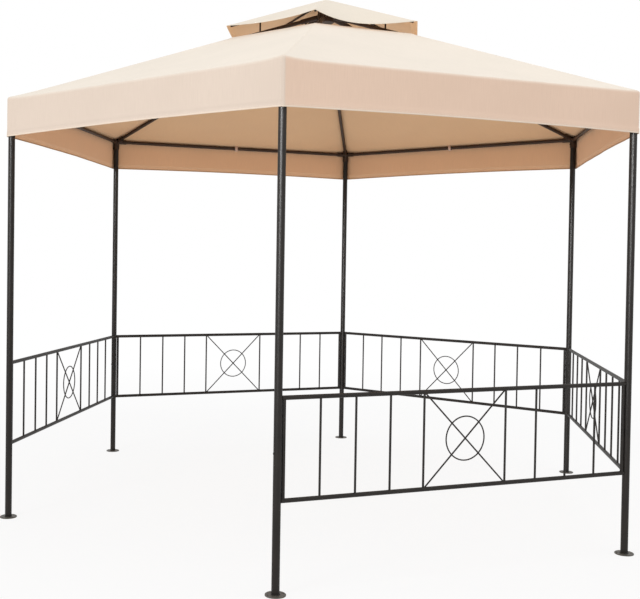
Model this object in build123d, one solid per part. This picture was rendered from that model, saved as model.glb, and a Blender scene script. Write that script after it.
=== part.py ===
from build123d import *
from math import atan, cos, radians, tan
import os

# Garden gazebo: a hexagonal frame of round steel tube with low railings on five sides
# and a fabric roof in two tiers. Millimetres, Z up. The origin is on the ground at the
# centre of the hexagon, two posts stand on the X axis, and the open side faces -Y.

# Plan and heights
post_circle_radius = 1615.0   # the post centres, from the middle of the plan
beam_height = 1970.0          # centre lines of the ring beams
roof_rise = 566.0             # from the beams up to where the rafters would meet
tier_lift = 77.0              # from the rafters up to those of the upper tier

# Clearance between pieces that fit, and how far a cut runs past what it cuts
fit = 0.3
overrun = 10.0

# Posts and their foot plates
post_radius = 15.5
post_wall = 1.0
foot_radius = 40.0
foot_thickness = 4.0
foot_edge_radius = 1.2
peg_hole_radius = 4.0
peg_circle_radius = 31.0
pegs_per_foot = 4

# Beams and rafters are one kind of tube, held in sleeves
roof_tube_radius = 10.0
roof_tube_wall = 0.8
sleeve_wall = 2.7
post_sleeve_wall = 3.0
post_sleeve_length = 52.0
sleeve_cap = 2.0
socket_floor_wall = 4.0
socket_depth = 40.0

# Crown
hub_radius = 45.0
hub_height = 48.0
hub_edge_radius = 5.0
hub_sleeve_length = 95.0
stem_radius = 10.0
top_hub_radius = 28.0
top_hub_height = 18.0
top_rafter_radius = 5.0
top_rafter_wall = 1.0
strut_circle_radius = 370.0
strut_radius = 4.5

# Railings
top_rail_height = 733.0
bottom_rail_height = 350.0
rail_radius = 8.7
stile_radius = 7.0
stile_inset = 1.5             # from a rail's end to the stile
bar_radius = 4.5
bars_beside_motif = 3
motif_width = 378.0
cross_wire_radius = 3.2
ring_wire_radius = 2.8
ring_radius = 88.0

# Fabric
cloth_thickness = 2.0
valance_drop = 175.0
vent_corner_radius = 515.0
tier_corner_radius = 555.0
tier_hem_reach = 25.0         # how far the upper cloth reaches past its rafters
tie_width = 18.0

# Names of the corners and sides, anticlockwise from the post on +X
corners = ("right", "back_right", "back_left", "left", "front_left", "front_right")
sides = ("back_right", "back", "back_left", "front_left", "front", "front_right")
open_side = "front"
corner_turn = 360 / len(corners)
half_turn = corner_turn / 2

# The hexagon's flat sides are nearer the middle than its corners by this share
flat_share = cos(radians(half_turn))
half_side_share = tan(radians(half_turn))
side_distance = post_circle_radius * flat_share

# Roof pitch: the rafters climb along the corners, the cloth climbs steeper between them
gore_slope = roof_rise / side_distance
gore_pitch = atan(gore_slope)
sleeve_radius = roof_tube_radius + fit + sleeve_wall
post_sleeve_radius = post_radius + fit + post_sleeve_wall

# Where two beams and a rafter meet above the post on +X, and the ways they leave it
node = Vector(post_circle_radius, 0, beam_height)
crown = Vector(0, 0, beam_height + roof_rise)
up = Vector(0, 0, 1)
rafter_way = (crown - node).normalized()
beam_way = (node.rotate(Axis.Z, corner_turn) - node).normalized()
other_beam_way = (node.rotate(Axis.Z, -corner_turn) - node).normalized()
socket_floor = post_sleeve_radius + socket_floor_wall

# The post sleeve's cap stays under the cloth, which lies on the round beam sleeves
cap_top = node + up * (sleeve_radius / cos(gore_pitch) - post_sleeve_radius * gore_slope)


def rod(start, end, radius, wall=0):
    """A round bar from start to end, or a tube where a wall is given."""
    section = Circle(radius)
    if wall:
        section -= Circle(radius - wall)
    return extrude(Plane(origin=start, z_dir=end - start) * section, (end - start).length)


def at_corner(piece, corner):
    """Turn a piece made at the post on +X to another corner."""
    return Rot(Z=corners.index(corner) * corner_turn) * piece


def at_side(piece, side):
    """Turn a piece made on a side that faces +X to its own side."""
    return Rot(Z=sides.index(side) * corner_turn + half_turn) * piece


def post():
    """Tube from the foot plate to just under the cap of the corner bracket."""
    foot = Vector(post_circle_radius, 0, foot_thickness)
    return rod(foot, cap_top - up * (sleeve_cap + fit), post_radius, post_wall)


def foot_plate():
    """Round plate under a post, its upper edge rounded, with holes for ground pegs."""
    centre = Vector(post_circle_radius, 0, 0)
    plate = rod(centre, centre + up * foot_thickness, foot_radius)
    plate = fillet(plate.edges().filter_by(GeomType.CIRCLE).sort_by(Axis.Z)[-1], foot_edge_radius)
    holes = PolarLocations(peg_circle_radius, pegs_per_foot, start_angle=half_turn)
    hole = Cylinder(peg_hole_radius, foot_thickness + overrun)
    return plate - [Pos(centre) * place * hole for place in holes]


def corner_bracket():
    """Knuckle over the post's top, with sleeves for two beams and a rafter."""
    skirt = cap_top - up * post_sleeve_length
    body = rod(skirt, cap_top, post_sleeve_radius)
    bores = rod(skirt - up * overrun, cap_top - up * sleeve_cap, post_radius + fit)
    for way in (beam_way, other_beam_way, rafter_way):
        floor = node + way * socket_floor
        mouth = floor + way * socket_depth
        body += rod(node, mouth, sleeve_radius)
        bores += rod(floor, mouth + way * overrun, roof_tube_radius + fit)
    return body - bores


def ring_beam():
    """Beam from bracket to bracket on a side that faces +X."""
    middle = Vector(side_distance, 0, beam_height)
    half = Vector(0, post_circle_radius / 2 - socket_floor - fit, 0)
    return rod(middle - half, middle + half, roof_tube_radius, roof_tube_wall)


def hub_socket(distance):
    """The point on the rafter's line at a distance from the middle of the plan."""
    return crown + (node - crown) * (distance / post_circle_radius)


def rafter():
    """Tube from the corner bracket up to the hub of the crown."""
    foot = node + rafter_way * (socket_floor + fit)
    return rod(foot, hub_socket(hub_radius + socket_floor_wall + fit), roof_tube_radius, roof_tube_wall)


def crown_hub():
    """Drum with six rafter sleeves, and a stem that carries the small hub of the upper tier."""
    drum_middle = hub_socket(hub_radius)
    drum = Pos(Z=drum_middle.Z) * Cylinder(hub_radius, hub_height)
    drum = fillet(drum.edges().filter_by(GeomType.CIRCLE), hub_edge_radius)
    floor = hub_socket(hub_radius + socket_floor_wall)
    mouth = floor - rafter_way * hub_sleeve_length
    sleeve = rod(hub_socket(0), mouth, sleeve_radius)
    bore = rod(floor, mouth - rafter_way * overrun, roof_tube_radius + fit)
    # The small hub's upper face stays under the cloth that lies on the thin rafters
    top = crown + up * (tier_lift + cloth_height(top_hub_radius, top_rafter_radius) - fit)
    hub = drum + [at_corner(sleeve, corner) for corner in corners]
    hub += rod(Vector(0, 0, drum_middle.Z), top, stem_radius)
    hub += rod(top - up * top_hub_height, top, top_hub_radius)
    return hub - [at_corner(bore, corner) for corner in corners]


def top_rafter():
    """Tube of the upper tier, above a rafter and parallel to it, cut to the small hub."""
    reach = (tier_corner_radius - tier_hem_reach) / post_circle_radius
    start = crown + up * tier_lift
    bar = rod(start, start + (node - crown) * reach, top_rafter_radius, top_rafter_wall)
    hub_room = Cylinder(top_hub_radius + fit, tier_lift + roof_rise)
    return bar - Pos(start) * hub_room


def vent_strut():
    """Upright between a rafter and the upper rafter, its ends saddled to both tubes."""
    low = hub_socket(strut_circle_radius)
    strut = rod(low, low + up * tier_lift, strut_radius)
    run = rafter_way * (strut_radius + overrun)
    below = rod(low - run, low + run, roof_tube_radius + fit)
    above = rod(low + up * tier_lift - run, low + up * tier_lift + run, top_rafter_radius + fit)
    return strut - below - above


def railing():
    """Welded panel on a side that faces +X: rails, stiles, upright bars and a ringed cross."""
    rail_end = post_circle_radius / 2 - post_radius - fit
    stile_place = rail_end - stile_inset - stile_radius
    motif_place = motif_width / 2
    bar_pitch = (stile_place - motif_place) / (bars_beside_motif + 1)

    def at(along, height):
        return Vector(side_distance, along, height)

    panel = Part()
    for height in (bottom_rail_height, top_rail_height):
        panel += rod(at(-rail_end, height), at(rail_end, height), rail_radius)
    for hand in (-1, 1):
        uprights = [(motif_place + number * bar_pitch, bar_radius) for number in range(bars_beside_motif + 1)]
        for place, radius in (*uprights, (stile_place, stile_radius)):
            along = hand * place
            panel += rod(at(along, bottom_rail_height), at(along, top_rail_height), radius)
        start = at(-hand * motif_place, bottom_rail_height)
        panel += rod(start, at(hand * motif_place, top_rail_height), cross_wire_radius)
    centre = at(0, (bottom_rail_height + top_rail_height) / 2)
    ring = Plane(origin=centre, z_dir=(1, 0, 0)) * Torus(ring_radius, ring_wire_radius)
    return panel + ring


def cloth_height(distance, tube_radius):
    """Height above the tubes' meeting point of cloth that lies on them, off the middle."""
    return (tube_radius + fit) / cos(gore_pitch) - distance * gore_slope


# Cloth panels stop short of the seam between two sides by half a clearance
seam_room = fit / 2 / flat_share
valance_inside = side_distance + post_sleeve_radius + fit
valance_outside = valance_inside + cloth_thickness
fold_height = crown.Z + cloth_height(valance_outside, sleeve_radius)


def side_face(inner, inner_height, outer, outer_height):
    """Four-sided face between two distances from the middle, as wide as its side has room for."""
    outline = []
    for distance, height, hand in (
        (inner, inner_height, -1),
        (outer, outer_height, -1),
        (outer, outer_height, 1),
        (inner, inner_height, 1),
    ):
        half_width = distance * half_side_share - seam_room
        outline.append((distance, hand * half_width, height))
    return make_face(Polyline(*outline, close=True))


def roof_panel():
    """Gore of the main roof on a side that faces +X, from the vent's edge to the fold."""
    vent = vent_corner_radius * flat_share
    vent_height = crown.Z + cloth_height(vent, sleeve_radius)
    gore = side_face(vent, vent_height, valance_outside, fold_height)
    return extrude(gore, cloth_thickness / cos(gore_pitch), dir=up)


def valance():
    """Strip that hangs from the roof's fold, outside the beams and posts."""
    hem_height = fold_height - fit - valance_drop
    hem = side_face(valance_inside, hem_height, valance_outside, hem_height)
    return extrude(hem, valance_drop, dir=up)


def tier_gore():
    """Triangle of the upper tier's cloth on a side that faces +X, up to the peak."""
    rim = tier_corner_radius * flat_share
    peak = seam_room / half_side_share
    half_width = rim * half_side_share - seam_room
    base = crown.Z + tier_lift
    rim_height = base + cloth_height(rim, top_rafter_radius)
    outline = Polyline(
        (peak, 0, base + cloth_height(peak, top_rafter_radius)),
        (rim, -half_width, rim_height),
        (rim, half_width, rim_height),
        close=True,
    )
    return extrude(make_face(outline), cloth_thickness / cos(gore_pitch), dir=up)


def canopy_tie():
    """Cloth band round the middle of a beam, sewn to the roof above it."""
    middle = Vector(side_distance, 0, beam_height)
    half = Vector(0, tie_width / 2, 0)
    return rod(middle - half, middle + half, sleeve_radius, sleeve_radius - roof_tube_radius - fit)


pieces = {}
for name, piece in (("post", post()), ("rafter", rafter())):
    for corner in corners:
        pieces[f"{corner}_{name}"] = at_corner(piece, corner)
for name, piece in (("beam", ring_beam()), ("roof_panel", roof_panel()), ("valance", valance())):
    for side in sides:
        pieces[f"{side}_{name}"] = at_side(piece, side)
panel = railing()
for side in sides:
    if side != open_side:
        pieces[f"{side}_railing"] = at_side(panel, side)
for name, piece in (
    ("foot_plates", foot_plate()),
    ("corner_brackets", corner_bracket()),
    ("top_rafters", top_rafter()),
    ("vent_struts", vent_strut()),
):
    pieces[name] = Compound([at_corner(piece, corner) for corner in corners])
for name, piece in (("top_canopy", tier_gore()), ("canopy_ties", canopy_tie())):
    pieces[name] = Compound([at_side(piece, side) for side in sides])
pieces["crown_hub"] = crown_hub()

os.makedirs("parts", exist_ok=True)
for name, piece in pieces.items():
    export_step(piece, f"parts/{name}.step")
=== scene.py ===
from math import atan, cos, pi, radians, sin, sqrt, tan

import bpy
import numpy as np
from mathutils import Matrix, Vector


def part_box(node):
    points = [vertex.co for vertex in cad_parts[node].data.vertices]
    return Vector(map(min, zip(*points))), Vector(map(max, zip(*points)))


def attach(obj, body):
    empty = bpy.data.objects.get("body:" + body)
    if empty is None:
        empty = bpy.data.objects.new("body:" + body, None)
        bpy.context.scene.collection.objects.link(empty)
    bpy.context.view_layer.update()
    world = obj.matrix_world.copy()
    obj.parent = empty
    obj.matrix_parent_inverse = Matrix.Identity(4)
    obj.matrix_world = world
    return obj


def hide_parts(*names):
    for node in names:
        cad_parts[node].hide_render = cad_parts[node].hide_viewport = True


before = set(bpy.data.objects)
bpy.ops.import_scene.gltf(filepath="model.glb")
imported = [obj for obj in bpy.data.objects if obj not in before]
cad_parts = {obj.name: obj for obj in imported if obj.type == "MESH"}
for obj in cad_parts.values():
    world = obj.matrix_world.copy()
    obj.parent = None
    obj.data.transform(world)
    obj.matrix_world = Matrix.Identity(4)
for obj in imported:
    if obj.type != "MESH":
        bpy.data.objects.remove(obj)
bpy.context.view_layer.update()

# Hexagonal garden gazebo in metres, Z up. The open side faces -Y and two posts stand on the X axis.
# The sections follow the way it is put up: posts, brackets, roof frame, railings, then the cloth.

# Posts: six round tubes of thin steel, cut square and welded to their foot plates.
# They are powder coated in a dark brown-grey with a satin sheen.
corners = ("right", "back_right", "back_left", "left", "front_left", "front_right")
corner_turn = 2 * pi / len(corners)
post_low, post_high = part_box("right_post")
post_circle = (post_low.x + post_high.x) / 2
post_radius = (post_high.x - post_low.x) / 2
coat_thick = "1d1916"
coat_thin = "241f1b"
coat_patch = 0.070        # width of the faint clouds where the coat is thinner
patch_stops = (0.35, 0.65)
coat_roughness = ("b1b1b1", "bababa")   # as greys: from about 0.44 to 0.49
roughness_stops = (0.3, 0.7)
coat_shine = 0.28         # specular level: the matting grains in the coat dull it
orange_peel = 0.005       # the real ripples are about 1.5 mm wide, drawn coarser to show
peel_height = 0.0002
peel_strength = 0.12


def linear(code):
    """Turns an sRGB hex colour into the linear RGBA that a shader takes."""
    shares = [int(code[at:at + 2], 16) / 255 for at in (0, 2, 4)]
    return [((s + 0.055) / 1.055) ** 2.4 if s > 0.04045 else s / 12.92 for s in shares] + [1]


def add_node(tree, kind, inputs=None, ramp=None, **settings):
    """Adds a node with its settings, and gives each input a value or a link.
    A colour ramp takes the places of its stops and their colours."""
    node = tree.nodes.new(kind)
    for name, value in settings.items():
        setattr(node, name, value)
    for stop, place, code in zip(node.color_ramp.elements, *ramp) if ramp else ():
        stop.position = place
        stop.color = linear(code)
    for name, value in (inputs or {}).items():
        if isinstance(value, bpy.types.NodeSocket):
            tree.links.new(value, node.inputs[name])
        else:
            node.inputs[name].default_value = value
    return node


def new_material(name):
    """An empty material and its node tree."""
    material = bpy.data.materials.new(name)
    material.use_nodes = True
    material.node_tree.nodes.clear()
    return material, material.node_tree


def powder_coat(name, thick, thin):
    """Powder coat on steel: a satin skin, faintly pebbled, with a broad soft highlight."""
    material, tree = new_material(name)
    place = add_node(tree, "ShaderNodeTexCoord").outputs["Object"]
    patch = add_node(tree, "ShaderNodeTexNoise", {"Vector": place, "Scale": 1 / coat_patch, "Detail": 4})
    clouds = {"Fac": patch.outputs["Fac"]}
    colour = add_node(tree, "ShaderNodeValToRGB", clouds, (patch_stops, (thick, thin)))
    gloss = add_node(tree, "ShaderNodeValToRGB", clouds, (roughness_stops, coat_roughness))
    peel = add_node(tree, "ShaderNodeTexNoise", {"Vector": place, "Scale": 1 / orange_peel, "Detail": 1})
    bump = add_node(
        tree,
        "ShaderNodeBump",
        {"Height": peel.outputs["Fac"], "Strength": peel_strength, "Distance": peel_height},
    )
    shader = add_node(
        tree,
        "ShaderNodeBsdfPrincipled",
        {
            "Base Color": colour.outputs["Color"],
            "Roughness": gloss.outputs["Color"],
            "Specular IOR Level": coat_shine,
            "Normal": bump.outputs["Normal"],
        },
    )
    add_node(tree, "ShaderNodeOutputMaterial", {"Surface": shader.outputs["BSDF"]})
    return material


steel = powder_coat("powder_coated_steel", coat_thick, coat_thin)


def coat(finish, *names):
    """Gives pieces of the frame their powder coat."""
    for name in names:
        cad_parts[name].material_slots[0].material = finish


coat(steel, *(f"{corner}_post" for corner in corners))

# Foot plates: round steel plates punched with four holes for ground pegs, their coat drawn a paler grey as
# painted light on their flat tops.
# A bead of weld runs round the post where it meets the plate, under the post's coat.
# Painted light: the plates' coat colours, paler than the posts', stand in for the light on their flat tops.
lit_plate_coat_thick = "524e49"
lit_plate_coat_thin = "5c5851"
foot_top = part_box("foot_plates")[1].z
bead_share = 0.17         # the bead's radius, of the tube's
ripple_share = 0.07       # how far the bead's ripples stand out, of the tube's radius
ripple_scale = 6.0        # ripples along one radius of the tube
bead_steps = 20           # round the tube
bead_sides = 6            # round the bead itself
lit_plate_steel = powder_coat("lit_plate_powder_coated_steel", lit_plate_coat_thick, lit_plate_coat_thin)
coat(lit_plate_steel, "foot_plates")


def around(angle, distance, height):
    """The point at an angle and distance from the middle of the plan."""
    return Vector((distance * cos(angle), distance * sin(angle), height))


def marks(name, points):
    """A mesh of loose points, each given as its place, the way it faces and the radius that it marks."""
    mesh = bpy.data.meshes.new(name)
    mesh.from_pydata([place for place, out, radius in points], [], [])
    ways = [tuple(out) for place, out, radius in points]
    mesh.attributes.new("out", "FLOAT_VECTOR", "POINT").data.foreach_set("vector", np.ravel(ways))
    radii = [radius for place, out, radius in points]
    mesh.attributes.new("radius", "FLOAT", "POINT").data.foreach_set("value", radii)
    return mesh


def new_tree(name, sizes):
    """A geometry tree with a mesh going in and coming out, and one named input for each size."""
    tree = bpy.data.node_groups.new(name, "GeometryNodeTree")
    tree.interface.new_socket("Geometry", in_out="INPUT", socket_type="NodeSocketGeometry")
    tree.interface.new_socket("Geometry", in_out="OUTPUT", socket_type="NodeSocketGeometry")
    for size in sizes:
        tree.interface.new_socket(size, in_out="INPUT", socket_type="NodeSocketFloat")
    return tree, add_node(tree, "NodeGroupInput").outputs


def end_tree(tree, placed, material, smooth):
    """Makes one plain mesh of the shapes that were placed, gives it its material and hands it out."""
    plain = add_node(tree, "GeometryNodeRealizeInstances", {0: placed.outputs["Instances"]})
    shaded = add_node(tree, "GeometryNodeSetShadeSmooth", {0: plain.outputs[0], "Shade Smooth": smooth})
    dressed = add_node(tree, "GeometryNodeSetMaterial", {0: shaded.outputs[0], "Material": material})
    add_node(tree, "NodeGroupOutput", {"Geometry": dressed.outputs[0]})
    return tree


def set_on_points(tree, points, shape, material, smooth):
    """Sets a shape on each point, turned and scaled as the point says, and ends the tree with them."""
    out = add_node(tree, "GeometryNodeInputNamedAttribute", {"Name": "out"}, data_type="FLOAT_VECTOR")
    radius = add_node(tree, "GeometryNodeInputNamedAttribute", {"Name": "radius"}, data_type="FLOAT")
    turn = add_node(
        tree, "FunctionNodeAlignRotationToVector", {"Vector": out.outputs["Attribute"]}, axis="Z"
    )
    placed = add_node(
        tree,
        "GeometryNodeInstanceOnPoints",
        {
            "Points": points,
            "Instance": shape,
            "Rotation": turn.outputs["Rotation"],
            "Scale": radius.outputs["Attribute"],
        },
    )
    return end_tree(tree, placed, material, smooth)


def add_object(name, data):
    """A new object at the origin."""
    thing = bpy.data.objects.new(name, data)
    bpy.context.collection.objects.link(thing)
    return thing


def grow(name, tree, mesh, slot, **sizes):
    """Runs a geometry tree on a mesh, keeps what it makes as a plain mesh and fixes it to the frame."""
    piece = add_object(name, mesh)
    modifier = piece.modifiers.new(tree.name, "NODES")
    modifier.node_group = tree
    for item in tree.interface.items_tree:
        if item.in_out == "INPUT" and item.name in sizes:
            modifier[item.identifier] = sizes[item.name]
    finished = piece.evaluated_get(bpy.context.evaluated_depsgraph_get())
    made = bpy.data.meshes.new_from_object(finished)
    piece.modifiers.remove(modifier)
    piece.data = made
    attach(piece, "root")


def weld_tree():
    """A rippled ring of weld round each tube that a point marks, sized in shares of its radius."""
    tree, size = new_tree("weld_beads", ("bead", "ripple"))
    path = add_node(tree, "GeometryNodeCurvePrimitiveCircle", {"Resolution": bead_steps, "Radius": 1.0})
    section = add_node(
        tree, "GeometryNodeCurvePrimitiveCircle", {"Resolution": bead_sides, "Radius": size["bead"]}
    )
    ring = add_node(
        tree,
        "GeometryNodeCurveToMesh",
        {"Curve": path.outputs["Curve"], "Profile Curve": section.outputs["Curve"]},
    )
    lumps = add_node(tree, "ShaderNodeTexNoise", {"Scale": ripple_scale, "Detail": 0.0})
    height = add_node(
        tree, "ShaderNodeMath", {0: lumps.outputs["Fac"], 1: size["ripple"]}, operation="MULTIPLY"
    )
    normal = add_node(tree, "GeometryNodeInputNormal")
    offset = add_node(
        tree,
        "ShaderNodeVectorMath",
        {0: normal.outputs["Normal"], "Scale": height.outputs["Value"]},
        operation="SCALE",
    )
    bead = add_node(
        tree,
        "GeometryNodeSetPosition",
        {"Geometry": ring.outputs["Mesh"], "Offset": offset.outputs["Vector"]},
    )
    return set_on_points(tree, size["Geometry"], bead.outputs["Geometry"], steel, True)


weld_beads = weld_tree()
upright = Vector((0, 0, 1))
foot_welds = [
    (around(number * corner_turn, post_circle, foot_top), upright, post_radius)
    for number in range(len(corners))
]
grow(
    "foot_welds", weld_beads, marks("foot_weld_points", foot_welds), "powder_coated_steel",
    bead=bead_share, ripple=ripple_share,
)

# Corner brackets: a capped sleeve over each post's top, with three short sleeves welded on.
# They take two beams and a rafter, and a hexagon bolt with a washer pins every tube. All of the
# roof frame is painted a shade browner than the posts, as painted warm light from the cloth above it.
# Painted warm light: the roof frame's coat colours, browner than the posts', stand in for the warm light
# under the cloth.
warm_lit_roof_coat_thick = "36271c"
warm_lit_roof_coat_thin = "3f2d21"
sleeve_radius = 0.013
post_sleeve_radius = 0.0188
sleeve_bolt_reach = 0.046  # from the middle of the knuckle to the bolt in each sleeve
skirt_bolt_rise = 0.018
head_radius = 0.0052
head_height = 0.0036
washer_radius = 0.0072
washer_thickness = 0.0012
washer_steps = 20
head_sides = 6
crown_steps = 12
crown_width_share = 0.8   # the chamfered top of the head, of its radius
crown_height_share = 0.3  # and of its height
beam_low, beam_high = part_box("front_beam")
beam_height = (beam_low.z + beam_high.z) / 2
beam_radius = (beam_high.z - beam_low.z) / 2
side_distance = post_circle * cos(corner_turn / 2)
roof_rise = 0.566         # from the beams up to where the rafters' lines meet
warm_lit_roof_steel = powder_coat("warm_lit_powder_coated_steel", warm_lit_roof_coat_thick, warm_lit_roof_coat_thin)
coat(warm_lit_roof_steel, "corner_brackets")


def bolt_tree():
    """A hexagon head with a chamfered top on a round washer, for each point."""
    tree, size = new_tree("bolts", ("head radius", "head height", "washer radius", "washer thickness"))
    washer = add_node(
        tree,
        "GeometryNodeMeshCylinder",
        {"Vertices": washer_steps, "Radius": size["washer radius"], "Depth": size["washer thickness"]},
    )
    head = add_node(
        tree,
        "GeometryNodeMeshCylinder",
        {"Vertices": head_sides, "Radius": size["head radius"], "Depth": size["head height"]},
    )
    crown_radius = add_node(
        tree, "ShaderNodeMath", {0: size["head radius"], 1: crown_width_share}, operation="MULTIPLY"
    )
    crown_height = add_node(
        tree, "ShaderNodeMath", {0: size["head height"], 1: crown_height_share}, operation="MULTIPLY"
    )
    crown = add_node(
        tree,
        "GeometryNodeMeshCone",
        {
            "Vertices": crown_steps,
            "Radius Top": crown_radius.outputs["Value"],
            "Radius Bottom": size["head radius"],
            "Depth": crown_height.outputs["Value"],
        },
    )
    middle = add_node(tree, "ShaderNodeMath", {0: size["head height"], 1: 0.5}, operation="MULTIPLY")
    half_way = add_node(tree, "ShaderNodeCombineXYZ", {"Z": middle.outputs["Value"]})
    whole_way = add_node(tree, "ShaderNodeCombineXYZ", {"Z": size["head height"]})
    bolt = add_node(tree, "GeometryNodeJoinGeometry", {"Geometry": washer.outputs["Mesh"]})
    for shape, rise in ((head, half_way), (crown, whole_way)):
        raised = add_node(
            tree,
            "GeometryNodeTransform",
            {"Geometry": shape.outputs["Mesh"], "Translation": rise.outputs["Vector"]},
        )
        tree.links.new(raised.outputs["Geometry"], bolt.inputs["Geometry"])
    return set_on_points(tree, size["Geometry"], bolt.outputs["Geometry"], warm_lit_roof_steel, False)


bolts = bolt_tree()


def fix_bolts(name, points):
    """Puts bolts on a list of places, each with the way its head faces."""
    mesh = marks(name + "_points", [(place, out, 1) for place, out in points])
    grow(
        name, bolts, mesh, "powder_coated_steel",
        **{
            "head radius": head_radius,
            "head height": head_height,
            "washer radius": washer_radius,
            "washer thickness": washer_thickness,
        },
    )


skirt_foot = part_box("corner_brackets")[0].z
rafter_pitch = atan(roof_rise / post_circle)
bracket_bolts = []
for number in range(len(corners)):
    angle = number * corner_turn
    outward = around(angle, 1, 0)
    knuckle = around(angle, post_circle, beam_height)
    skirt_bolt = around(angle, post_circle - post_sleeve_radius, skirt_foot + skirt_bolt_rise)
    bracket_bolts.append((skirt_bolt, -outward))
    for hand in (-1, 1):
        way = (around(angle + hand * corner_turn, post_circle, beam_height) - knuckle).normalized()
        inward = -around(angle + hand * corner_turn / 2, 1, 0)
        bracket_bolts.append((knuckle + way * sleeve_bolt_reach + inward * sleeve_radius, inward))
    rafter_way = upright * sin(rafter_pitch) - outward * cos(rafter_pitch)
    rafter_under = -upright * cos(rafter_pitch) - outward * sin(rafter_pitch)
    rafter_bolt = knuckle + rafter_way * sleeve_bolt_reach + rafter_under * sleeve_radius
    bracket_bolts.append((rafter_bolt, rafter_under))
fix_bolts("bracket_bolts", bracket_bolts)

# Ring beams and rafters: plain round tubes of one size, pushed into the brackets' sleeves.
# The beams close the hexagon at the eaves, and the rafters climb to the crown.
sides = ("back_right", "back", "back_left", "front_left", "front", "front_right")
coat(warm_lit_roof_steel, *(f"{side}_beam" for side in sides))
coat(warm_lit_roof_steel, *(f"{corner}_rafter" for corner in corners))

# Crown: a drum with six rafter sleeves, and a stem that carries the upper tier's small hub.
# Six thin tubes slope down from that hub over struts on the rafters, and end in pressed caps.
hub_bolt_reach = 0.118    # from the middle of the plan to the bolts under the hub's sleeves
top_tube_radius = 0.005
cap_share = 0.45          # how far a cap's dome stands out, of the tube's radius
collar_share = 0.3        # how long its collar is, of the tube's radius
collar_reach = 1.04       # the collar's own radius, of the tube's
cap_steps = 24
cap_rings = 12
coat(warm_lit_roof_steel, "crown_hub", "top_rafters", "vent_struts")


def cap_tree():
    """A pressed cap on a tube's end: a short collar and a low dome, in shares of the tube's radius."""
    tree, size = new_tree("end_caps", ("dome", "collar"))
    collar = add_node(
        tree,
        "GeometryNodeMeshCylinder",
        {"Vertices": cap_steps, "Radius": collar_reach, "Depth": size["collar"]},
    )
    ball = add_node(
        tree, "GeometryNodeMeshUVSphere", {"Segments": cap_steps, "Rings": cap_rings, "Radius": 1.0}
    )
    squash = add_node(tree, "ShaderNodeCombineXYZ", {"X": 1.0, "Y": 1.0, "Z": size["dome"]})
    dome = add_node(
        tree, "GeometryNodeTransform", {"Geometry": ball.outputs["Mesh"], "Scale": squash.outputs["Vector"]}
    )
    cap = add_node(tree, "GeometryNodeJoinGeometry", {"Geometry": collar.outputs["Mesh"]})
    tree.links.new(dome.outputs["Geometry"], cap.inputs["Geometry"])
    return set_on_points(tree, size["Geometry"], cap.outputs["Geometry"], steel, True)


end_caps = cap_tree()
hub_bolts = []
top_caps = []
top_low, top_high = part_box("top_rafters")
top_reach = top_high.x - top_tube_radius * sin(rafter_pitch)
socket_height = beam_height + roof_rise * (1 - hub_bolt_reach / post_circle)
for number in range(len(corners)):
    outward = around(number * corner_turn, 1, 0)
    rafter_under = -upright * cos(rafter_pitch) - outward * sin(rafter_pitch)
    socket = outward * hub_bolt_reach + upright * socket_height
    hub_bolts.append((socket + rafter_under * sleeve_radius, rafter_under))
    tube_end = outward * top_reach + upright * (top_low.z + top_tube_radius * cos(rafter_pitch))
    down_slope = outward * cos(rafter_pitch) - upright * sin(rafter_pitch)
    top_caps.append((tube_end, down_slope, top_tube_radius))
fix_bolts("hub_bolts", hub_bolts)
grow(
    "top_rafter_caps", end_caps, marks("top_cap_points", top_caps), "powder_coated_steel",
    dome=cap_share, collar=collar_share,
)

# Railings: five welded panels of two rails, two end stiles, upright bars and a ringed cross.
# A bead of weld runs round each upright, and a screw through the post holds each stile.
open_side = "front"
rail_low, rail_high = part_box("back_railing")
rail_radius = (rail_high.y - rail_low.y) / 2
rail_heights = (rail_low.z + rail_radius, rail_high.z - rail_radius)
stile_radius = 0.007
stile_inset = 0.0015
stile_place = rail_high.x - stile_inset - stile_radius
bar_radius = 0.0045
bars_beside_motif = 3
motif_half = 0.189
screw_radius = 0.0045
screw_stagger = 0.014     # the two screws through one post pass over each other
railed = [side for side in sides if side != open_side]
coat(steel, *(f"{side}_railing" for side in railed))
bar_pitch = (stile_place - motif_half) / (bars_beside_motif + 1)
uprights = [(motif_half + number * bar_pitch, bar_radius) for number in range(bars_beside_motif + 1)]
uprights.append((stile_place, stile_radius))
rail_welds = []
rail_screws = []
for side in railed:
    angle = (sides.index(side) + 0.5) * corner_turn
    along = around(angle + pi / 2, 1, 0)
    middle = around(angle, side_distance, 0)
    for hand in (-1, 1):
        for place, radius in uprights:
            for height, way in zip(rail_heights, (-1, 1)):
                foot = height - way * sqrt(rail_radius ** 2 - radius ** 2)
                rail_welds.append((middle + along * hand * place + upright * foot, upright, radius))
        screw_height = sum(rail_heights) / 2 + hand * screw_stagger
        far_face = middle + along * hand * (post_circle / 2 + post_radius) + upright * screw_height
        rail_screws.append((far_face, along * hand, screw_radius))
grow(
    "railing_welds", weld_beads, marks("railing_weld_points", rail_welds), "powder_coated_steel",
    bead=bead_share, ripple=ripple_share,
)
grow(
    "railing_screws", end_caps, marks("railing_screw_points", rail_screws), "powder_coated_steel",
    dome=cap_share, collar=collar_share,
)

# Main canopy: one cover of coated polyester, six gores sewn edge to edge with a felled seam on each
# ridge. It folds over the beams into a valance, and both its edges have a stitched hem.
roof_cloth = "efe4d6"
# Painted shade: the strips that hang below the fold are painted warmer and darker than the roof.
shaded_valance_cloth = "e2c6b1"
lit_front_valance_cloth = "dbcabb"   # painted light: the strip over the entrance is painted paler and cooler, as lit from the front
edge_cloth = "ecdac8"     # the hem's folded edge catches the light
# Painted warm shade: the cloth's underside, painted a deeper tan for the shade under the roof and the warm
# light that comes through the cloth.
warm_shaded_under_cloth = "e6be95"
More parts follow.
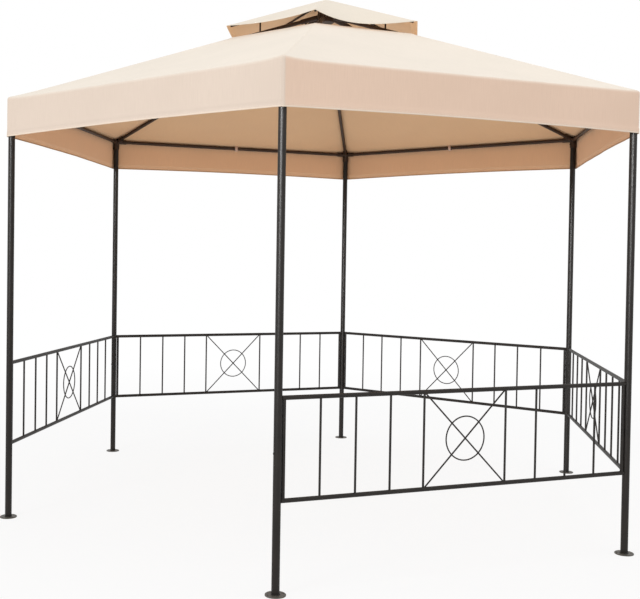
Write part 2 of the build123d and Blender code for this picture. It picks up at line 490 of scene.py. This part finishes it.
# Painted light: the valance's inner face is painted paler than the underside for the daylight that comes
# through it from outside.
backlit_valance_cloth = "eec49e"
hem_cloth = "b58a63"      # less daylight comes through the turned hem
cloth_roughness = 0.85
cloth_shine = 0.12
cloth_sheen = 0.12
sheen_roughness = 0.5
thread_spacing = 0.0045   # the real threads are about 0.4 mm apart, drawn coarser to show
thread_height = 0.0004
weave_relief = 0.15       # how strongly the threads stand out
wave_unit = 2 * pi / 20   # the length of one wave of the thread pattern before it is scaled
cloth_cloud = 0.35        # width of the soft patches of shade in the cloth
slub_width = 0.003
slub_length = 0.08
blotch_stops = (0.12, 0.38)
blotch_shares = (0.985, 1.01)   # of the cloth's colour, from the darkest blotch to the palest
cloth_thickness = 0.0012
gore_slope = roof_rise / side_distance
gore_pitch = atan(gore_slope)
roof_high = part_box("front_roof_panel")[1]
valance_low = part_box("front_valance")[0]
vent_distance = -roof_high.y
vent_height = roof_high.z
fold_distance = -valance_low.y
fold_height = vent_height - (fold_distance - vent_distance) * gore_slope
fold_radius = 0.014
slope_length = (fold_distance - vent_distance) / cos(gore_pitch)
fold_bend = pi / 2 - gore_pitch
bend_start = slope_length - fold_radius * tan(fold_bend / 2)
fold_run = bend_start + fold_radius * fold_bend / 2
fold_blend = 0.012
strip_edge = 0.008        # how far the front strip reaches round its corners
strip_blend = 0.006
valance_tilt = pi / 3     # whatever is steeper than this hangs in the valance
ridge_radius = 0.012
valance_corner_radius = 0.022
corner_growth = 6         # the ridges stay crisp down the roof and widen only near the fold
hem_width = 0.020
hem_edge = 0.006
hem_step = 0.0015
seam_step = 0.0002
roof_sag = 0.008
sag_breadth = 0.7         # under 1, so that the sag spreads towards the vent and the fold
wave_height = 0.0015
long_wave = 9             # waves along the valance, in radians a metre
long_shift = 1.9          # from one side to the next
short_wave = 23
short_shift = 2.7
short_share = 0.5         # of the long wave's height
pucker_height = 0.002
pucker_reach = 0.10
pucker_folds = 7
pucker_fade = 2
pucker_start = 0.03       # from a ridge to where the puckers have their full height
corner_gap = 1e-6         # keeps the puckers' angle defined at the very corner
dent_height = 0.0012
dent_reach = 0.03
broad_dents = 31          # dents along the fold, in radians a metre
fine_dents = 53
peak_lift = (0.002, 0.007, 0.007, 0.007, 0.008, 0.011)   # the brackets push up a low peak at each corner
peak_reach = 0.07
hem_lift = 0.008          # the stitched hem draws up a little between the corners
roof_rows = 28
fold_rows = 9
drop_rows = 14
straight_columns = 40
corner_columns = 8        # across the rounded corner between two gores
side_columns = straight_columns + corner_columns
columns = len(sides) * side_columns


def cloth_shade(tree, blotch, colour):
    """The cloth's colour, a shade darker or lighter from blotch to blotch."""
    low, high = (
        "".join(f"{min(255, round(int(colour[at:at + 2], 16) * share)):02x}" for at in (0, 2, 4))
        for share in blotch_shares
    )
    ramp = add_node(tree, "ShaderNodeValToRGB", {"Fac": blotch}, (blotch_stops, (low, high)))
    return ramp.outputs["Color"]


def cloth(name, colour, relief=weave_relief, hung=()):
    """Coated polyester: plain weave with a dull sheen, cloudy and faintly streaked along its threads.
    Where colours are given for the strips that hang below the fold, the cloth turns to them there: the
    first on the front strip as painted light, the second on the others as painted shade."""
    material, tree = new_material(name)
    place = add_node(tree, "ShaderNodeUVMap", uv_map="cloth").outputs["UV"]
    cloud = add_node(tree, "ShaderNodeTexNoise", {"Vector": place, "Scale": 1 / cloth_cloud, "Detail": 3})
    stretch = add_node(
        tree, "ShaderNodeMapping", {"Vector": place, "Scale": (1 / slub_width, 1 / slub_length, 1)}
    )
    slub = add_node(
        tree, "ShaderNodeTexNoise", {"Vector": stretch.outputs["Vector"], "Scale": 1.0, "Detail": 2}
    )
    blotch = add_node(
        tree, "ShaderNodeMath", {0: cloud.outputs["Fac"], 1: slub.outputs["Fac"]}, operation="MULTIPLY"
    )
    shade = cloth_shade(tree, blotch.outputs["Value"], colour)
    if hung:
        run = add_node(tree, "ShaderNodeSeparateXYZ", {"Vector": place}).outputs["Y"]
        past_fold = add_node(
            tree,
            "ShaderNodeMapRange",
            {"Value": run, "From Min": fold_run - fold_blend, "From Max": fold_run + fold_blend},
            interpolation_type="SMOOTHSTEP",
        )
        body = add_node(tree, "ShaderNodeTexCoord").outputs["Object"]
        depth = add_node(tree, "ShaderNodeSeparateXYZ", {"Vector": body}).outputs["Y"]
        front_edge = strip_edge - fold_distance
        past_corner = add_node(
            tree,
            "ShaderNodeMapRange",
            {"Value": depth, "From Min": front_edge, "From Max": front_edge + strip_blend},
        )
        lit_front_strip, shaded_other_strips = (cloth_shade(tree, blotch.outputs["Value"], strip) for strip in hung)
        strips = add_node(
            tree,
            "ShaderNodeMixRGB",
            {"Fac": past_corner.outputs["Result"], "Color1": lit_front_strip, "Color2": shaded_other_strips},
        )
        both = add_node(
            tree,
            "ShaderNodeMixRGB",
            {"Fac": past_fold.outputs["Result"], "Color1": shade, "Color2": strips.outputs["Color"]},
        )
        shade = both.outputs["Color"]
    grain = {"Vector": place, "Scale": wave_unit / thread_spacing}
    warp, weft = (add_node(tree, "ShaderNodeTexWave", grain, bands_direction=axis) for axis in ("X", "Y"))
    weave = add_node(
        tree, "ShaderNodeMath", {0: warp.outputs["Fac"], 1: weft.outputs["Fac"]}, operation="MULTIPLY"
    )
    bump = add_node(
        tree,
        "ShaderNodeBump",
        {"Height": weave.outputs["Value"], "Strength": relief, "Distance": thread_height},
    )
    shader = add_node(
        tree,
        "ShaderNodeBsdfPrincipled",
        {
            "Base Color": shade,
            "Roughness": cloth_roughness,
            "Specular IOR Level": cloth_shine,
            "Sheen Weight": cloth_sheen,
            "Sheen Roughness": sheen_roughness,
            "Normal": bump.outputs["Normal"],
        },
    )
    add_node(tree, "ShaderNodeOutputMaterial", {"Surface": shader.outputs["BSDF"]})
    return material


def hexagon_row(distance, corner_radius, seam):
    """Points round a hexagon with rounded corners, raised by a seam there: x, y, outward x and y,
    the share along the side from -1 to 1, and the distance along the side."""
    half = straight_columns // 2
    row = []
    for number in range(len(sides)):
        angle = (number + 0.5) * corner_turn
        reach = (distance - corner_radius) * tan(corner_turn / 2)
        for column in range(-corner_columns // 2 - half, half + corner_columns // 2):
            beyond = max(0, abs(column) - half) * (1 if column > 0 else -1)
            turn = angle + corner_turn * beyond / corner_columns
            share = max(-1, min(1, column / half))
            out = np.array((cos(turn), sin(turn)))
            centre = np.array((cos(angle), sin(angle))) * (distance - corner_radius)
            centre = centre + np.array((-sin(angle), cos(angle))) * reach * share
            point = centre + out * (corner_radius + (seam if beyond else 0))
            along = reach * share + corner_radius * corner_turn * beyond / corner_columns
            row.append((*point, *out, share, along))
    return np.array(row)


def sheet_object(name, grid, run, along, materials, face_materials, peak=None):
    """Joins rows of points into one sheet that closes round the hexagon, with its cloth UV in metres."""
    rows = len(grid)
    points = list(grid.reshape(-1, 3))
    faces = []
    uvs = []
    kinds = []
    for row in range(rows - 1):
        for column in range(columns):
            ahead = (column + 1) % columns
            faces.append((
                row * columns + column, (row + 1) * columns + column,
                (row + 1) * columns + ahead, row * columns + ahead,
            ))
            for at_row, at_column in ((row, column), (row + 1, column), (row + 1, ahead), (row, ahead)):
                place = along[at_row, at_column]
                # Places run from minus to plus along each side, so the next side starts over at minus.
                if at_column == ahead and place < along[at_row, column]:
                    place = -place
                uvs.append((place, run[at_row]))
            kinds.append(face_materials[row])
    if peak is not None:
        points.append(peak)
        for column in range(columns):
            ahead = (column + 1) % columns
            faces.append((len(points) - 1, column, ahead))
            uvs.extend(((0, 0), (along[0, column], run[0]), (along[0, ahead], run[0])))
            kinds.append(face_materials[0])
    mesh = bpy.data.meshes.new(name)
    mesh.from_pydata([tuple(point) for point in points], [], faces)
    mesh.uv_layers.new(name="cloth").data.foreach_set("uv", np.ravel(uvs))
    mesh.polygons.foreach_set("material_index", kinds)
    mesh.polygons.foreach_set("use_smooth", [True] * len(faces))
    for material in materials:
        mesh.materials.append(material)
    return add_object(name, mesh)


def thicken(piece, inner_offset):
    """Gives a sheet its thickness inwards, with its under side in the slots after the outer ones."""
    solid = piece.modifiers.new("cloth_thickness", "SOLIDIFY")
    solid.thickness = cloth_thickness
    solid.offset = -1
    solid.material_offset = inner_offset
    solid.material_offset_rim = 0


def roof_profile():
    """Rows of the main canopy from the vent to the valance's hem: the run of cloth from the vent, distance
    from the middle, height, outward tilt, corner radius, raised step, and the share of sag and of hang."""
    rows = []
    hem_runs = (0, hem_width / 2, hem_width, hem_width + hem_step)
    roof_runs = np.linspace(hem_width * 2, bend_start, roof_rows)
    for run in (*hem_runs, *roof_runs):
        share = run / slope_length
        step = hem_step if run <= hem_width else 0
        distance = vent_distance + run * cos(gore_pitch)
        height = vent_height - run * sin(gore_pitch)
        radius = ridge_radius + (valance_corner_radius - ridge_radius) * share ** corner_growth
        sag = sin(pi * share) ** sag_breadth
        rows.append((run, distance, height, gore_pitch, radius, step, sag, 0))
    centre_distance = fold_distance - fold_radius
    centre_height = fold_height - fold_radius * tan(fold_bend / 2)
    for turn in np.linspace(0, fold_bend, fold_rows)[1:]:
        tilt = gore_pitch + turn
        distance = centre_distance + fold_radius * sin(tilt)
        height = centre_height + fold_radius * cos(tilt)
        run = bend_start + fold_radius * turn
        rows.append((run, distance, height, tilt, valance_corner_radius, 0, 0, 0))
    drop = centre_height - valance_low.z
    hem_top = drop - hem_width
    start_run = rows[-1][0]
    hem_falls = (hem_top, hem_top + hem_width / 2, drop - hem_edge, drop)
    for fall in (*np.linspace(0, hem_top - hem_step, drop_rows)[1:], *hem_falls):
        step = hem_step if fall >= hem_top else 0
        rows.append((
            start_run + fall, fold_distance, centre_height - fall, pi / 2,
            valance_corner_radius, step, 0, fall / drop,
        ))
    return rows


def main_canopy():
    """The sheet's points, row by row, with its sag, waves and the puckers at its corners."""
    profile = roof_profile()
    grid = []
    along = []
    for run, distance, height, tilt, radius, step, sag, hang in profile:
        ring = hexagon_row(distance, radius, seam_step)
        out = np.column_stack((ring[:, 2:4] * sin(tilt), np.full(len(ring), cos(tilt))))
        points = np.column_stack((ring[:, :2], np.full(len(ring), height)))
        share, place = ring[:, 4], ring[:, 5]
        number = np.arange(len(ring)) // side_columns
        room = 1 - share ** 2
        wave = np.sin(place * long_wave + number * long_shift)
        wave = wave + short_share * np.sin(place * short_wave + number * short_shift)
        edge = np.abs(place).max() - np.abs(place)
        away = np.hypot(edge, run - fold_run)
        fan = np.arctan2(run - fold_run, edge + corner_gap)
        pucker = np.sin(pucker_folds * fan + number) * away / pucker_reach
        pucker = pucker * np.exp(1 - pucker_fade * away / pucker_reach)
        lift = step - roof_sag * sag * room + wave_height * hang * wave * room
        lift = lift + pucker_height * pucker * np.minimum(1, edge / pucker_start)
        dents = np.sin(place * broad_dents + number) + np.sin(place * fine_dents + 2 * number)
        below_fold = np.exp(-abs(run - fold_run - dent_reach) / dent_reach)
        lift = lift + dent_height * dents * room * below_fold
        nearest = (number + (share > 0)) % len(corners)
        peak = np.array(peak_lift)[nearest] * np.exp(-away / peak_reach)
        points[:, 2] += peak + hem_lift * hang * room
        grid.append(points + out * lift[:, None])
        along.append(place)
    return np.array(grid), np.array([row[0] for row in profile]), np.array(along), profile


main_grid, main_run, main_along, main_profile = main_canopy()
cover_material = cloth("coated_polyester_cover", roof_cloth, hung=(lit_front_valance_cloth, shaded_valance_cloth))
outer_materials = (cover_material, cover_material, cloth("coated_polyester_edge", edge_cloth))
inner_materials = (
    cloth("warm_shaded_underside_polyester", warm_shaded_under_cloth),
    cloth("backlit_valance_underside", backlit_valance_cloth),
    cloth("tan_hem_backing", hem_cloth),
)
# Each row of faces is roof, valance or folded edge, in the order of the materials.
main_kinds = [0 if row[3] < valance_tilt else 1 for row in main_profile]
main_kinds[-2] = 2
canopy = sheet_object(
    "main_canopy", main_grid, main_run, main_along, outer_materials + inner_materials, main_kinds
)
thicken(canopy, len(outer_materials))
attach(canopy, "root")
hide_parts(*(f"{side}_{part}" for side in sides for part in ("roof_panel", "valance")))

# Upper canopy: a small hexagonal cover of the same cloth over the vent, pulled over the small hub.
# Its hemmed rim is held out by the six thin tubes and droops a little between them.
upper_low, upper_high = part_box("top_canopy")
rim_distance = -upper_low.y
peak_height = upper_high.z
peak_round = 0.009
peak_rows = (0.004, 0.009, 0.016, 0.025)   # close rows round the peak
slope_start = 0.04
slope_rows = 22
cap_ridge_share = 0.7     # its ridges are sharper than the main canopy's
# Painted shade: the same cloth, painted a shade darker than the main roof.
shaded_cap_cloth = "eadfcf"
cap_relief = 0.25
glow_cloth = "f6cda2"     # daylight from above comes through the small cover
droop_start = 0.25        # the cloth is taut for this share of the way down to the rim
droop_growth = 1.6
rim_droop = (0.034, 0.026, 0.030, 0.028, 0.016, 0.040)   # side by side, anticlockwise from back_right
rim_skew = (0, 0, 0, 0, 0.2, -0.4)   # how far the deepest part leans to one end, side by side


def upper_canopy():
    """The small cover's points, row by row, from just under its peak to the drooping rim."""
    hem_start = rim_distance - hem_width * cos(gore_pitch)
    distances = (
        *peak_rows, *np.linspace(slope_start, hem_start - hem_step, slope_rows),
        hem_start, rim_distance - hem_width / 2, rim_distance,
    )
    grid = []
    along = []
    for distance in distances:
        ring = hexagon_row(distance, min(ridge_radius * cap_ridge_share, distance / 2), seam_step)
        share, place = ring[:, 4], ring[:, 5]
        number = np.arange(len(ring)) // side_columns
        slack = max(0, (distance / rim_distance - droop_start) / (1 - droop_start)) ** droop_growth
        lean = 1 + np.array(rim_skew)[number] * share
        droop = np.array(rim_droop)[number] * (1 - share ** 2) * lean * slack
        height = peak_height - gore_slope * sqrt(distance ** 2 + peak_round ** 2) - droop
        step = hem_step if distance >= hem_start else 0
        out = np.column_stack((ring[:, 2:4] * sin(gore_pitch), np.full(len(ring), cos(gore_pitch))))
        grid.append(np.column_stack((ring[:, :2], height)) + out * step)
        along.append(place)
    return np.array(grid), np.array(distances) / cos(gore_pitch), np.array(along)


upper_grid, upper_run, upper_along = upper_canopy()
upper_materials = (
    cloth("coated_polyester_cap", shaded_cap_cloth, cap_relief), cloth("backlit_tan_polyester", glow_cloth),
)
upper = sheet_object(
    "upper_canopy", upper_grid, upper_run, upper_along, upper_materials,
    [0] * len(upper_run), peak=(0, 0, peak_height - gore_slope * peak_round),
)
thicken(upper, 1)
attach(upper, "root")
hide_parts("top_canopy")

# Stitching: lock stitch in a thread of the cloth's own shade, two rows on each felled seam
# and one row along each hem.
thread_colour = "efe4d6"
thread_shade = "ebdfd1"
twist_stops = (0.3, 0.7)
thread_roughness = 0.8
stitch_pitch = 0.007
stitch_length = 0.0052
thread_radius = 0.0006    # the real thread is about 0.25 mm thick, drawn thicker to show
stitch_proud = 0.0001
seam_offset = 2           # columns of the sheet from a ridge to the stitches on either side
main_hem_rows = (1, -3)   # rows of the sheet along the middle of each hem
upper_hem_rows = (-2,)


def thread():
    """Spun polyester thread: dull, with a fine twist."""
    material, tree = new_material("spun_polyester_thread")
    place = add_node(tree, "ShaderNodeTexCoord").outputs["Object"]
    twist = add_node(tree, "ShaderNodeTexNoise", {"Vector": place, "Scale": 1 / stitch_length, "Detail": 2})
    shade = add_node(
        tree,
        "ShaderNodeValToRGB",
        {"Fac": twist.outputs["Fac"]},
        (twist_stops, (thread_shade, thread_colour)),
    )
    shader = add_node(
        tree,
        "ShaderNodeBsdfPrincipled",
        {"Base Color": shade.outputs["Color"], "Roughness": thread_roughness},
    )
    add_node(tree, "ShaderNodeOutputMaterial", {"Surface": shader.outputs["BSDF"]})
    return material


def stitch_tree():
    """Stitches of one length along every line that goes in, each a slim bead of thread."""
    tree, size = new_tree("stitches", ("pitch", "length", "radius"))
    line = add_node(tree, "GeometryNodeMeshToCurve", {"Mesh": size["Geometry"]})
    even = add_node(
        tree,
        "GeometryNodeResampleCurve",
        {"Curve": line.outputs["Curve"], "Length": size["pitch"]},
        mode="LENGTH",
    )
    points = add_node(tree, "GeometryNodeCurveToPoints", {"Curve": even.outputs["Curve"]}, mode="EVALUATED")
    bead = add_node(tree, "GeometryNodeMeshIcoSphere", {"Radius": 1.0, "Subdivisions": 1})
    half = add_node(tree, "ShaderNodeMath", {0: size["length"], 1: 0.5}, operation="MULTIPLY")
    scale = add_node(
        tree, "ShaderNodeCombineXYZ", {"X": size["radius"], "Y": size["radius"], "Z": half.outputs["Value"]}
    )
    placed = add_node(
        tree,
        "GeometryNodeInstanceOnPoints",
        {
            "Points": points.outputs["Points"],
            "Instance": bead.outputs["Mesh"],
            "Rotation": points.outputs["Rotation"],
            "Scale": scale.outputs["Vector"],
        },
    )
    return end_tree(tree, placed, thread(), True)


def lift_lines(name, grid, rows, seam_columns):
    """Lines along some rows and down some columns of a sheet, just proud of its outer face."""
    down = np.gradient(grid, axis=0)
    across = np.roll(grid, -1, axis=1) - np.roll(grid, 1, axis=1)
    out = np.cross(down, across)
    out /= np.linalg.norm(out, axis=2, keepdims=True)
    proud = grid + out * stitch_proud
    points = []
    edges = []
    hem_paths = [(proud[row], True) for row in rows]
    seam_paths = [(proud[:, column], False) for column in seam_columns]
    for path, closed in hem_paths + seam_paths:
        first = len(points)
        points.extend(tuple(point) for point in path)
        edges.extend((first + step, first + step + 1) for step in range(len(path) - 1))
        if closed:
            edges.append((len(points) - 1, first))
    mesh = bpy.data.meshes.new(name)
    mesh.from_pydata(points, edges, [])
    return mesh


stitches = stitch_tree()
seam_columns = [
    (number * side_columns + offset) % columns
    for number in range(len(sides))
    for offset in (-seam_offset, seam_offset)
]
stitch_sizes = {"pitch": stitch_pitch, "length": stitch_length, "radius": thread_radius}
grow(
    "main_canopy_stitches", stitches, lift_lines("main_seams", main_grid, main_hem_rows, seam_columns),
    "canopy_fabric", **stitch_sizes,
)
grow(
    "upper_canopy_stitches", stitches, lift_lines("upper_seams", upper_grid, upper_hem_rows, seam_columns),
    "canopy_fabric", **stitch_sizes,
)

# Canopy ties: a loop of woven tape at the middle of each beam, sewn to the cover above it.
# It hangs a little slack under the beam, and keeps the cover from lifting off.
tie_width = 0.018
tie_gap = 0.0006
tie_slack = 0.006
tie_thickness = 0.0011
tie_steps = 17            # points round the bend under the beam
tie_colour = "d3b6a6"
tape_relief = 0.3
cover_gap = 0.0025        # from the cover's outer face to where the tape meets it


def tie_outline():
    """One loop across its beam, as places outward from the beam's middle and up from it."""
    reach = beam_radius + tie_gap
    ends = [
        (out, fold_height - cover_gap + (fold_distance - side_distance - out) * gore_slope - beam_height)
        for out in (-reach, reach)
    ]
    turns = np.linspace(-pi, 0, tie_steps)
    bend = [(reach * cos(turn), (reach + tie_slack) * sin(turn)) for turn in turns]
    return np.array([ends[0], *bend, ends[1]])


def tie_loops():
    """Six loops of tape, each down from the cover, under its beam and up to the cover again."""
    outline = tie_outline()
    run = np.append(0, np.cumsum(np.hypot(*np.diff(outline, axis=0).T)))
    points = []
    faces = []
    uvs = []
    for number in range(len(sides)):
        angle = (number + 0.5) * corner_turn
        along = around(angle + pi / 2, tie_width / 2, 0)
        first = len(points)
        for edge in (-1, 1):
            for out, rise in outline:
                points.append(tuple(around(angle, side_distance + out, beam_height + rise) + along * edge))
        for step in range(len(outline) - 1):
            at = first + step
            faces.append((at, at + 1, at + len(outline) + 1, at + len(outline)))
            start, end = run[step:step + 2]
            uvs.extend(((0, start), (0, end), (tie_width, end), (tie_width, start)))
    mesh = bpy.data.meshes.new("canopy_ties_tape")
    mesh.from_pydata(points, [], faces)
    mesh.uv_layers.new(name="cloth").data.foreach_set("uv", np.ravel(uvs))
    mesh.polygons.foreach_set("use_smooth", [True] * len(faces))
    mesh.materials.append(cloth("woven_polyester_tape", tie_colour, tape_relief))
    piece = add_object("canopy_ties_tape", mesh)
    solid = piece.modifiers.new("tape_thickness", "SOLIDIFY")
    solid.thickness = tie_thickness
    solid.offset = 1
    return piece, run[-1]


ties, tie_length = tie_loops()
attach(ties, "root")
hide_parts("canopy_ties")

# Studio: a pale floor that fades into a white surround, and soft light from all round. A tall lamp
# stands in front, a panel beside the camera gives the highlights, and a broad lamp hangs over the roof.
pure_white = "ffffff"
pure_black = "000000"
card_colour = "f2f2f2"
card_share = 0.15         # how much of the card's own shading shows against plain white
fade_stops = (0.15, 0.6)  # where the card has faded out and where it is solid, from its rim inwards
floor_radius = 7.0
floor_drop = 0.0004
surround_light = 0.80
tall_place = Vector((0.0, -9.1, 2.9))
tall_aim = Vector((0, 0, 1.7))
tall_size = (1.6, 2.4)
tall_power = 205
panel_place = Vector((2.9, -9.1, 3.3))
panel_aim = Vector((0.8, -0.7, 3.3))
panel_size = (2.6, 2.3)
panel_power = 195
panel_beam = radians(32)  # narrow, so that it passes over the foot plates
broad_place = Vector((3.0, 0.8, 6.0))
broad_aim = Vector((0, 0, 2.2))
broad_size = (2.5, 2.5)
broad_power = 46


def seen_rays(tree):
    """1 for rays from the camera, a gloss or a clear surface, and 0 for the light that falls."""
    path = add_node(tree, "ShaderNodeLightPath")
    first = add_node(
        tree,
        "ShaderNodeMath",
        {0: path.outputs["Is Camera Ray"], 1: path.outputs["Is Glossy Ray"]},
        operation="MAXIMUM",
    )
    both = add_node(
        tree,
        "ShaderNodeMath",
        {0: first.outputs["Value"], 1: path.outputs["Is Transmission Ray"]},
        operation="MAXIMUM",
    )
    return both.outputs["Value"]


def studio_floor():
    """White card: it takes the object's shadow, and its rim fades out into the surround."""
    material, tree = new_material("white_studio_card")
    place = add_node(tree, "ShaderNodeTexCoord").outputs["Object"]
    ball = add_node(
        tree, "ShaderNodeMapping", {"Vector": place, "Scale": (1 / floor_radius, 1 / floor_radius, 1)}
    )
    fade = add_node(
        tree, "ShaderNodeTexGradient", {"Vector": ball.outputs["Vector"]}, gradient_type="SPHERICAL"
    )
    solid = add_node(
        tree, "ShaderNodeValToRGB", {"Fac": fade.outputs["Fac"]}, (fade_stops, (pure_black, pure_white))
    )
    paper = add_node(tree, "ShaderNodeBsdfDiffuse", {"Color": linear(card_colour)})
    white = add_node(tree, "ShaderNodeEmission", {"Color": linear(pure_white), "Strength": 1.0})
    shown = add_node(
        tree, "ShaderNodeMixShader", {0: card_share, 1: white.outputs["Emission"], 2: paper.outputs["BSDF"]}
    )
    card = add_node(
        tree, "ShaderNodeMixShader", {0: seen_rays(tree), 1: paper.outputs["BSDF"], 2: shown.outputs[0]}
    )
    clear = add_node(tree, "ShaderNodeBsdfTransparent").outputs["BSDF"]
    faded = add_node(
        tree, "ShaderNodeMixShader", {0: solid.outputs["Color"], 1: clear, 2: card.outputs[0]}
    )
    add_node(tree, "ShaderNodeOutputMaterial", {"Surface": faded.outputs[0]})
    mesh = bpy.data.meshes.new("studio_floor")
    corner_points = [
        (floor_radius * x, floor_radius * y, -floor_drop) for x, y in ((-1, -1), (1, -1), (1, 1), (-1, 1))
    ]
    mesh.from_pydata(corner_points, [], [(0, 1, 2, 3)])
    mesh.materials.append(material)
    add_object("studio_floor", mesh)


def studio_light():
    """White all round for what is seen, and a softer white for the light that falls."""
    world = bpy.data.worlds.new("studio_surround")
    bpy.context.scene.world = world
    world.use_nodes = True
    tree = world.node_tree
    tree.nodes.clear()
    white = linear(pure_white)
    light = add_node(tree, "ShaderNodeBackground", {"Color": white, "Strength": surround_light})
    shown = add_node(tree, "ShaderNodeBackground", {"Color": white, "Strength": 1.0})
    both = add_node(
        tree,
        "ShaderNodeMixShader",
        {0: seen_rays(tree), 1: light.outputs["Background"], 2: shown.outputs["Background"]},
    )
    add_node(tree, "ShaderNodeOutputWorld", {"Surface": both.outputs[0]})


def soft_lamp(name, place, aim, size, power):
    """A white panel of light, turned to face its aim."""
    data = bpy.data.lights.new(name, "AREA")
    data.shape = "RECTANGLE"
    data.size, data.size_y = size
    data.energy = power
    lamp = add_object(name, data)
    lamp.location = place
    lamp.rotation_euler = (aim - place).to_track_quat("-Z", "Y").to_euler()
    return lamp


studio_floor()
studio_light()
tall_lamp = soft_lamp("tall_lamp", tall_place, tall_aim, tall_size, tall_power)
tall_lamp.visible_glossy = False
panel = soft_lamp("highlight_panel", panel_place, panel_aim, panel_size, panel_power)
panel.data.spread = panel_beam
panel.visible_diffuse = False
soft_lamp("broad_lamp", broad_place, broad_aim, broad_size, broad_power)

# Camera: outside the corner between the open side and the front right railing, at chest height.
# Its place, turn and lens fit the posts, rails, beams and feet in a frame of 640 by 599 pixels.
camera_place = Vector((2.9964, -4.2133, 1.2504))
camera_yaw = radians(-39.085)
camera_pitch = radians(-1.207)
camera_roll = radians(0.832)
frame_width = 640
frame_height = 599
focal_pixels = 969.15
centre_pixels = (259.55, 277.84)
sensor = 36.0             # its width in millimetres
forward = Vector((
    sin(camera_yaw) * cos(camera_pitch), cos(camera_yaw) * cos(camera_pitch), sin(camera_pitch),
))
level = forward.cross(upright).normalized()
above = level.cross(forward)
camera_right = level * cos(camera_roll) + above * sin(camera_roll)
camera_up = above * cos(camera_roll) - level * sin(camera_roll)
lens = bpy.data.cameras.new("photo_camera")
lens.sensor_width = sensor
lens.lens = focal_pixels / frame_width * sensor
lens.shift_x = (frame_width / 2 - centre_pixels[0]) / frame_width
lens.shift_y = (centre_pixels[1] - frame_height / 2) / frame_width
camera = add_object("photo_camera", lens)
turned = Matrix((camera_right, camera_up, -forward)).transposed().to_4x4()
camera.matrix_world = Matrix.Translation(camera_place) @ turned
bpy.context.scene.camera = camera
bpy.context.scene.view_settings.view_transform = "Standard"
